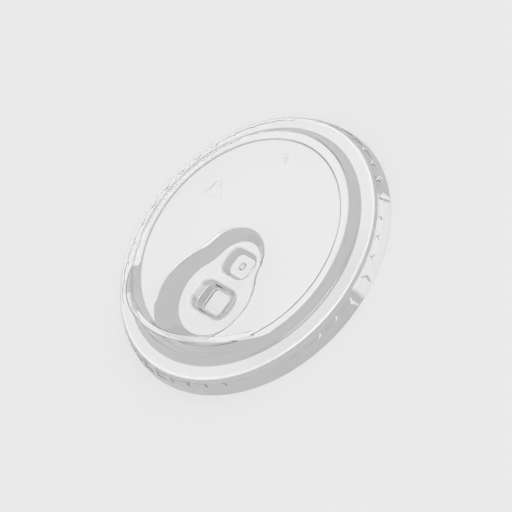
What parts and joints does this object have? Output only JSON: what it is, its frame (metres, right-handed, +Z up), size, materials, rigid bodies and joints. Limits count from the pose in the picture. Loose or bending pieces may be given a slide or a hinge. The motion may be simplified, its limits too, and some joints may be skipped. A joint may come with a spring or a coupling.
{
  "type": "cup lid",
  "caption": "Clear plastic sip-through lid for a hot-drink paper cup: gripping skirt with notches, raised lip ring, dished panel and a pear-shaped recess with a drinking opening.",
  "frame": {"origin": "centre of the skirt's lower rim, in the plane that the lid rests on", "axes": "+Z up along the lid's axis, out through its top; the drinking side and the raised lip face -Y; +X to the right seen from the drinking side"},
  "size_m": [0.101, 0.101, 0.018],
  "materials": {
    "cup_lid": "clear, glossy thermoformed PET sheet, colourless, with a slightly grey look where it is seen edge-on"
  },
  "bodies": {
    "root": {"cup_lid": "cup_lid"}
  },
  "joints": []
}
